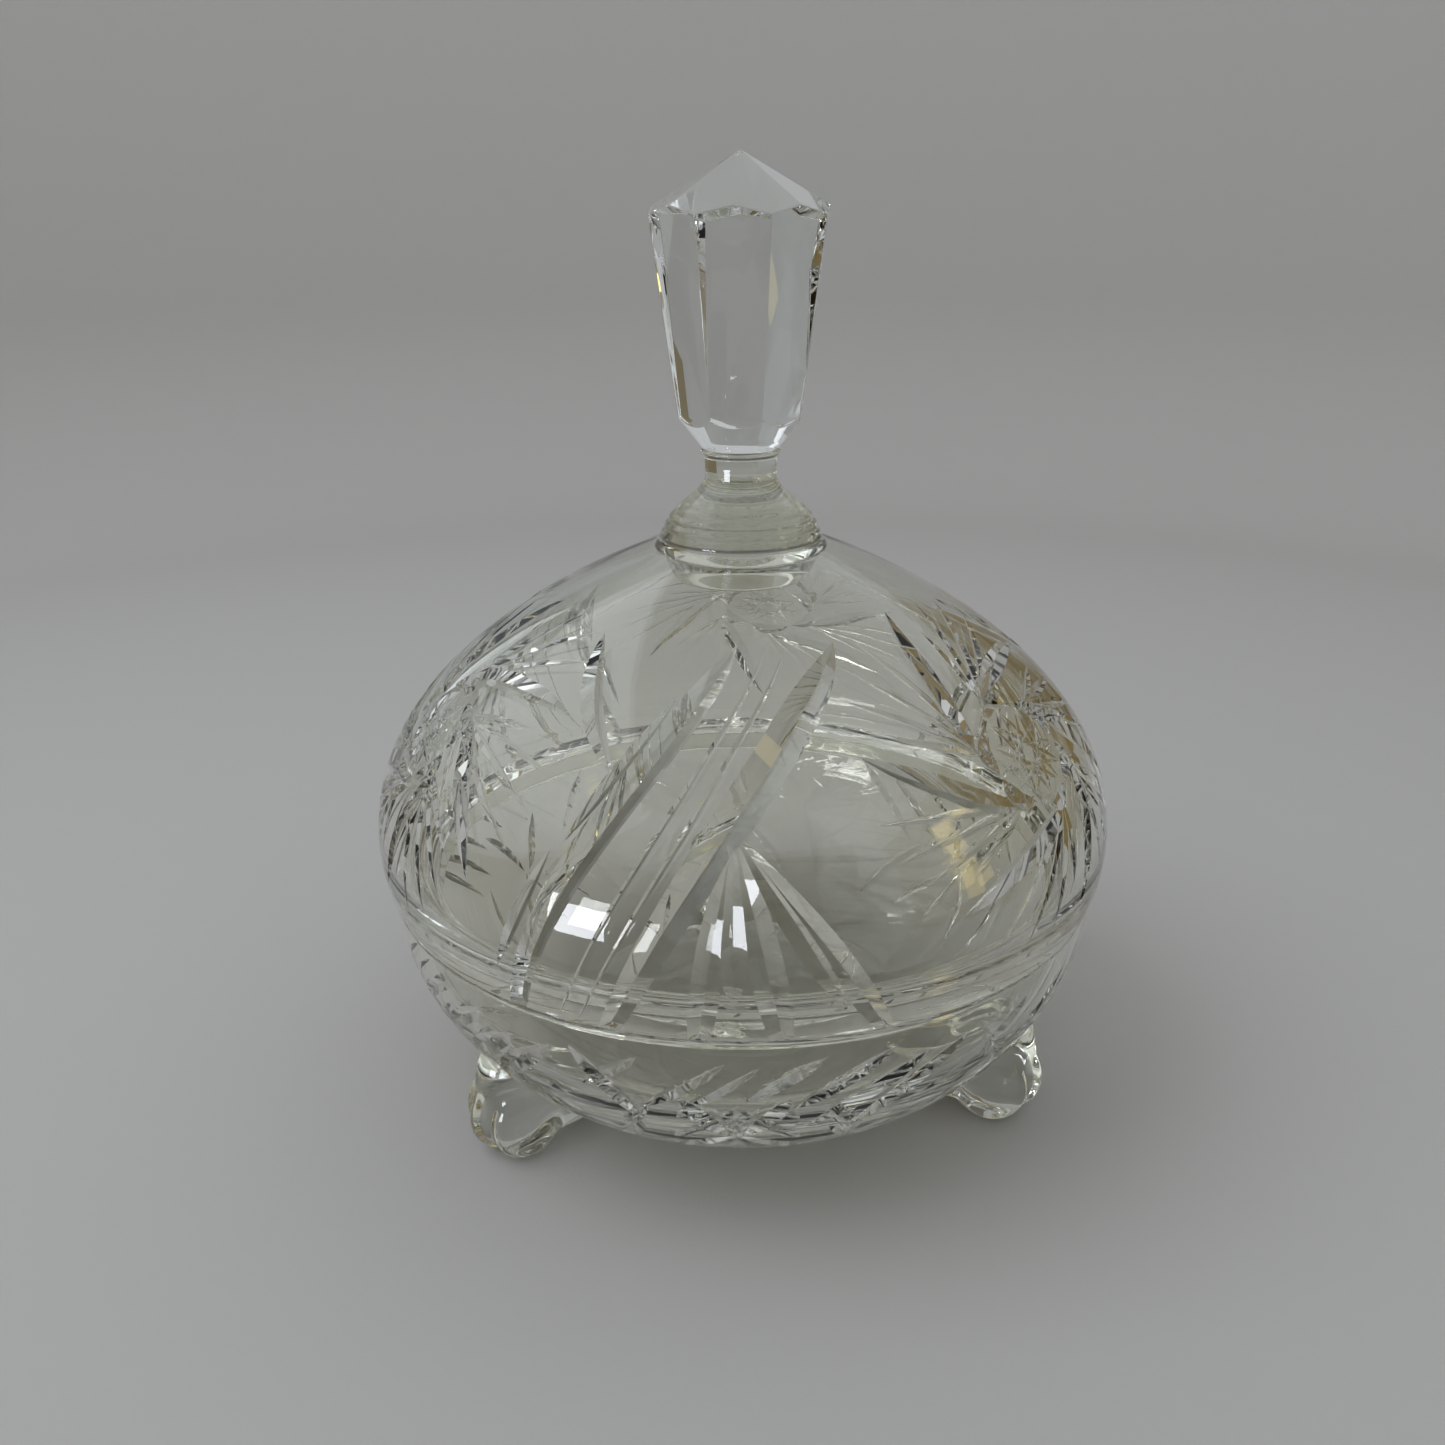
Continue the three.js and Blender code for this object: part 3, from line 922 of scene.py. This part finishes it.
def sweep():
    """An open sheet: a round floor that turns up through a cove into a wall."""
    cove = [(FLOOR_RADIUS + COVE_RADIUS * math.sin(t * math.pi / 2),
             COVE_RADIUS * (1 - math.cos(t * math.pi / 2))) for t in steps(12)]
    bm = bmesh.new()
    chain = [bm.verts.new((r, 0, z)) for r, z in
             [(0, 0), (INNER_RING, 0), *cove, (FLOOR_RADIUS + COVE_RADIUS, WALL_TOP)]]
    for lower, upper in zip(chain, chain[1:]):
        bm.edges.new((lower, upper))
    bmesh.ops.spin(bm, geom=bm.verts[:] + bm.edges[:], cent=(0, 0, 0), axis=(0, 0, 1),
                   dvec=(0, 0, 0), angle=math.tau, steps=96, use_merge=True)
    bmesh.ops.remove_doubles(bm, verts=bm.verts[:], dist=0.01 * MM)
    backdrop = to_object(bm, "floor_and_backdrop")
    backdrop.data.shade_smooth()
    backdrop.data.materials.append(cloth("pale cotton", "#CBC9C5"))
    return backdrop


backdrop = sweep()


def card(name, colour, width, height, place, facing):
    """A plain card that the glass can see and the camera can't."""
    bm = bmesh.new()
    bmesh.ops.create_grid(bm, x_segments=1, y_segments=1, size=0.5)
    bmesh.ops.scale(bm, verts=bm.verts[:], vec=(width, height, 1))
    turned = Vector(facing).to_track_quat("Z", "Y").to_matrix()
    bmesh.ops.rotate(bm, verts=bm.verts[:], cent=(0, 0, 0), matrix=turned)
    bmesh.ops.translate(bm, verts=bm.verts[:], vec=place)
    made = to_object(bm, name)
    made.data.materials.append(cloth(name, colour))
    made.visible_camera = False
    made.visible_diffuse = False
    made.visible_shadow = False
    return made


# Each card gives its colour, width, height, place and the way it faces.
card("dark_card", "#8E8A80", 0.5, 0.45, (0.12, -0.56, 0.26), (-0.2, 1, -0.1))
card("brown_card", "#A08A58", 0.85, 0.5, (0.46, -0.03, 0.24), (-1, 0, 0))
card("brown_screen", "#9C8C68", 0.36, 0.5, (0.46, 0.42, 0.2), (-0.75, -0.66, 0))
card("pale_screen", "#DCDEDC", 0.5, 0.5, (-0.42, 0.48, 0.25), (0.6, -0.8, 0))
print("backdrop radius", FLOOR_RADIUS, "m")

# %% [markdown]
# The light is soft and mostly from above. A small window low at the front left gives the dome
# its bright patch, a wide pale one on the left models the bowl, and a weak warm lamp on the
# right gives the cuts there their gold. These three stand close, and would burn out the cloth
# beside them, so only the glass sees them. The cloth has a skylight of its own, high up.

# %% Lights
JAR_MIDDLE = Vector((0, 0, 0.07))


def area_light(name, width, height, radiance, colour, place, for_glass=True):
    """A softbox set by what it shows, in W per square metre and steradian, not by its watts."""
    light = bpy.data.lights.new(name, "AREA")
    light.shape = "RECTANGLE"
    light.size, light.size_y = width, height
    light.energy = radiance * width * height * math.pi
    light.color = linear(colour)[:3]
    made = bpy.data.objects.new(name, light)
    bpy.context.collection.objects.link(made)
    made.location = place
    way = Vector(place) - JAR_MIDDLE
    made.rotation_euler = way.to_track_quat("Z", "Y").to_euler()
    made.visible_camera = False
    made.visible_diffuse = not for_glass
    made.visible_glossy = made.visible_transmission = for_glass
    return made


# Each light gives its width, height, radiance, colour and place.
area_light("window", 0.18, 0.13, 14, "#F2F6FF", (-0.37, -0.37, 0.07))
area_light("side_window", 1.1, 0.8, 0.75, "#E6EEF6", (-0.56, 0.05, 0.45))
area_light("warm_lamp", 0.05, 0.26, 2.4, "#F2DA86", (0.41, -0.2, 0.2))
area_light("skylight", 0.8, 0.8, 1.5, "#EAF0F8", (-0.6, -0.25, 0.95), for_glass=False)

ROOM_BRIGHTNESS = 0.72
world = bpy.data.worlds.new("room")
bpy.context.scene.world = world
world.use_nodes = True
sky = world.node_tree.nodes["Background"]
sky.inputs["Color"].default_value = linear("#E4E7EC")
sky.inputs["Strength"].default_value = ROOM_BRIGHTNESS

scene = bpy.context.scene
scene.view_settings.view_transform = "Standard"
scene.cycles.max_bounces = 32
scene.cycles.transmission_bounces = 32
scene.cycles.glossy_bounces = 12
scene.cycles.diffuse_bounces = 3

# %% [markdown]
# Last, the json module is imported. The glass has to stay inside the imported model's box, and
# should come within a fraction of a millimetre of every side.

# %% The end
import json
